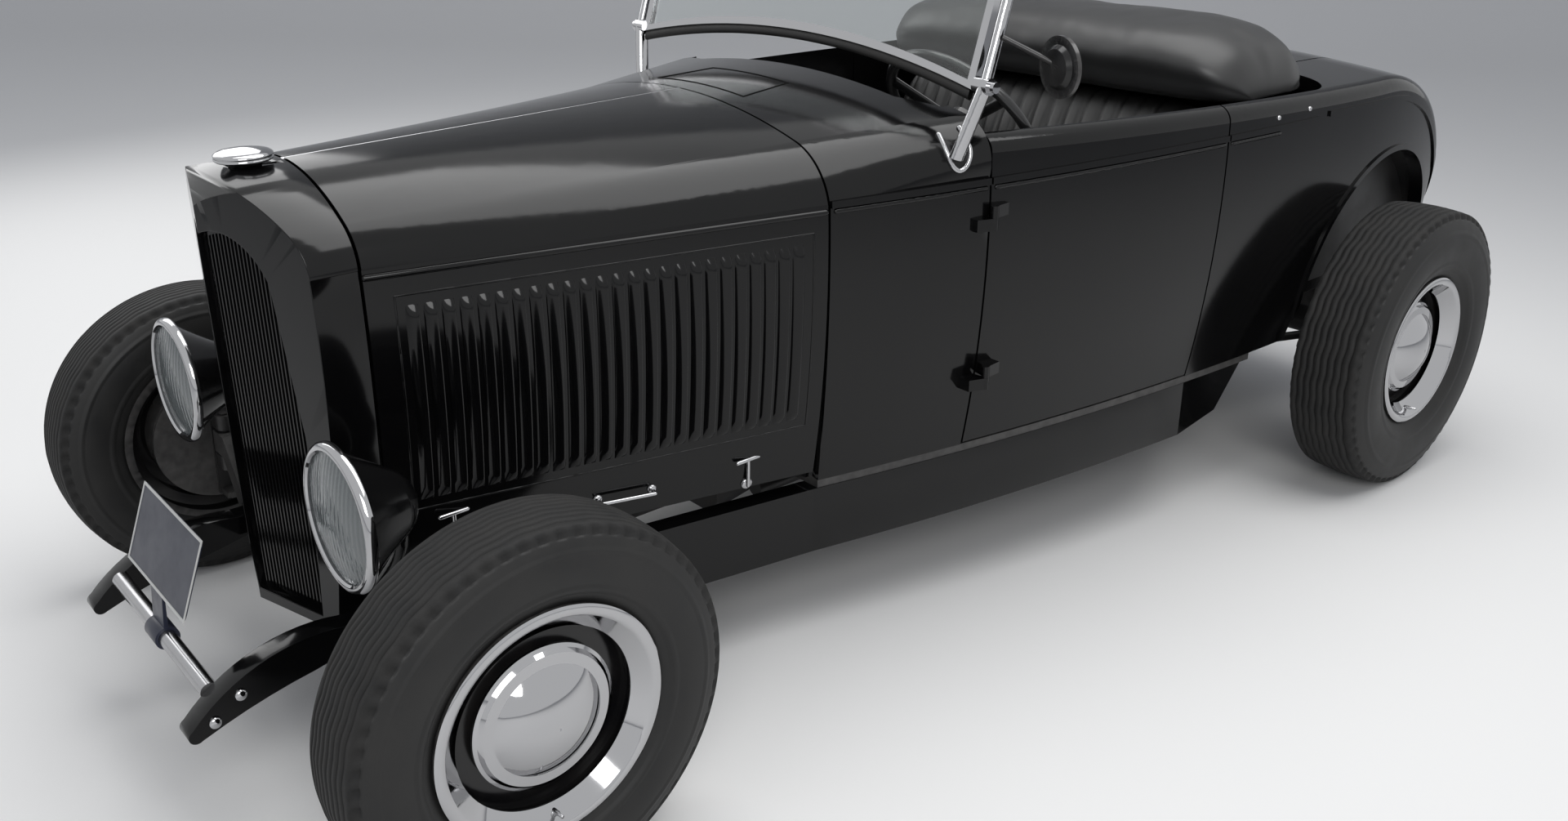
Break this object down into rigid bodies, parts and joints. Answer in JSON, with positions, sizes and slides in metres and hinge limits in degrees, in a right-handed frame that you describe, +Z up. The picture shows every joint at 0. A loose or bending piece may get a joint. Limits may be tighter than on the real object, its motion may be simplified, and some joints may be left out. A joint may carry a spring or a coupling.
{
  "type": "hot rod",
  "caption": "Open two-seat highboy hot rod with black body over its bare frame, low raked windshield, covered folded top, full hood, painted shell and chrome trim.",
  "frame": {"origin": "centre of the footprint, on the ground under the tyres", "axes": "+X to the car's left side, +Y to the rear, +Z up; the nose points to -Y"},
  "size_m": [1.7922, 3.6976, 1.4507],
  "materials": {
    "black_paint": "gloss",
    "chassis_black": "satin",
    "bright_metal": "polished",
    "lamp_glass": "clear",
    "clear_glass": "clear",
    "tail_lens": "gloss",
    "tyre_rubber": "matte",
    "black_vinyl": "satin",
    "black_rim_plastic": "gloss",
    "engine_metal": "matte",
    "core_metal": "satin",
    "plate_metal": "satin",
    "mirror_back": "gloss"
  },
  "bodies": {
    "body": {"cowl": "black_paint", "quarter_left": "black_paint", "quarter_right": "black_paint", "deck_panel": "black_paint", "tail_panel": "black_paint", "hood_hinge": "bright_metal", "radiator_shell": "black_paint", "grille": "black_paint", "radiator": "core_metal", "radiator_cap": "bright_metal", "frame": "chassis_black", "spreader_bars": "bright_metal", "licence_plate": "plate_metal", "headlamp_shells": "black_paint", "headlamp_rims": "bright_metal", "headlamp_lenses": "lamp_glass", "headlamp_stands": "black_paint", "engine": "engine_metal", "firewall": "black_paint", "dash": "black_paint", "floor": "chassis_black", "trunk_floor": "chassis_black", "wheelhouses": "chassis_black", "windshield_posts": "bright_metal", "windshield_frame": "bright_metal", "windshield_glass": "clear_glass", "side_mirror": "mirror_back", "seat_cushion": "black_vinyl", "seat_back": "black_vinyl", "top_boot": "black_vinyl", "steering_column": "chassis_black", "front_axle": "chassis_black", "rear_axle": "chassis_black", "exhaust": "chassis_black", "fuel_tank": "chassis_black", "tail_lamps": "tail_lens"},
    "door_left": {"door_left": "black_paint"},
    "door_right": {"door_right": "black_paint"},
    "deck_lid": {"deck_lid": "black_paint"},
    "hood_left": {"hood_top_left": "black_paint", "hood_side_left": "black_paint"},
    "hood_right": {"hood_top_right": "black_paint", "hood_side_right": "black_paint"},
    "knuckle_left": {"knuckle_left": "chassis_black"},
    "knuckle_right": {"knuckle_right": "chassis_black"},
    "tie_rod": {"tie_rod": "chassis_black"},
    "steering_wheel": {"steering_wheel": "black_rim_plastic"},
    "wheel_front_left": {"tyre_front_left": "tyre_rubber", "rim_front_left": "black_paint", "wheel_trim_front_left": "bright_metal"},
    "wheel_front_right": {"tyre_front_right": "tyre_rubber", "rim_front_right": "black_paint", "wheel_trim_front_right": "bright_metal"},
    "wheel_rear_left": {"tyre_rear_left": "tyre_rubber", "rim_rear_left": "black_paint", "wheel_trim_rear_left": "bright_metal"},
    "wheel_rear_right": {"tyre_rear_right": "tyre_rubber", "rim_rear_right": "black_paint", "wheel_trim_rear_right": "bright_metal"}
  },
  "joints": [
    {"name": "door_left_hinge", "type": "hinge", "parent": "body", "child": "door_left", "pos_m": [0.57007, -0.2291, 0.73882], "axis": [0, 0.0314, -0.9995], "range_deg": [0, 65]},
    {"name": "door_right_hinge", "type": "hinge", "parent": "body", "child": "door_right", "pos_m": [-0.57007, -0.2291, 0.73882], "axis": [0, -0.0314, 0.9995], "range_deg": [0, 65]},
    {"name": "deck_lid_hinge", "type": "hinge", "parent": "body", "child": "deck_lid", "pos_m": [0, 1.11205, 1.13715], "axis": [1, 0, 0], "range_deg": [0, 35]},
    {"name": "hood_left_hinge", "type": "hinge", "parent": "body", "child": "hood_left", "pos_m": [0, -1.48268, 1.08762], "axis": [0, -0.9986, -0.0533], "range_deg": [0, 40]},
    {"name": "hood_right_hinge", "type": "hinge", "parent": "body", "child": "hood_right", "pos_m": [0, -1.48268, 1.08762], "axis": [0, 0.9986, 0.0533], "range_deg": [0, 40]},
    {"name": "steer_left", "type": "hinge", "parent": "body", "child": "knuckle_left", "pos_m": [0.6, -1.4535, 0.337], "axis": [0, 0, 1], "range_deg": [-25, 25]},
    {"name": "steer_right", "type": "hinge", "parent": "body", "child": "knuckle_right", "pos_m": [-0.6, -1.4535, 0.337], "axis": [0, 0, 1], "range_deg": [-25, 25]},
    {"name": "tie_rod_end", "type": "hinge", "parent": "knuckle_left", "child": "tie_rod", "pos_m": [0.6, -1.3135, 0.185], "axis": [0, 0, 1], "range_deg": [-25, 25]},
    {"name": "steering_wheel_turn", "type": "hinge", "parent": "body", "child": "steering_wheel", "pos_m": [0.33, -0.0835, 1.06], "axis": [0, 0.788, 0.6157], "range_deg": [-300, 300]},
    {"name": "wheel_front_left_spin", "type": "hinge", "parent": "knuckle_left", "child": "wheel_front_left", "pos_m": [0.72, -1.4535, 0.337], "axis": [1, 0, 0], "continuous": true},
    {"name": "wheel_front_right_spin", "type": "hinge", "parent": "knuckle_right", "child": "wheel_front_right", "pos_m": [-0.72, -1.4535, 0.337], "axis": [1, 0, 0], "continuous": true},
    {"name": "wheel_rear_left_spin", "type": "hinge", "parent": "body", "child": "wheel_rear_left", "pos_m": [0.79, 1.2385, 0.385], "axis": [1, 0, 0], "continuous": true},
    {"name": "wheel_rear_right_spin", "type": "hinge", "parent": "body", "child": "wheel_rear_right", "pos_m": [-0.79, 1.2385, 0.385], "axis": [1, 0, 0], "continuous": true}
  ],
  "couplings": [
    {"joint": "steer_right", "follows": "steer_left", "ratio": 1},
    {"joint": "tie_rod_end", "follows": "steer_left", "ratio": -1},
    {"joint": "steering_wheel_turn", "follows": "steer_left", "ratio": 12}
  ]
}
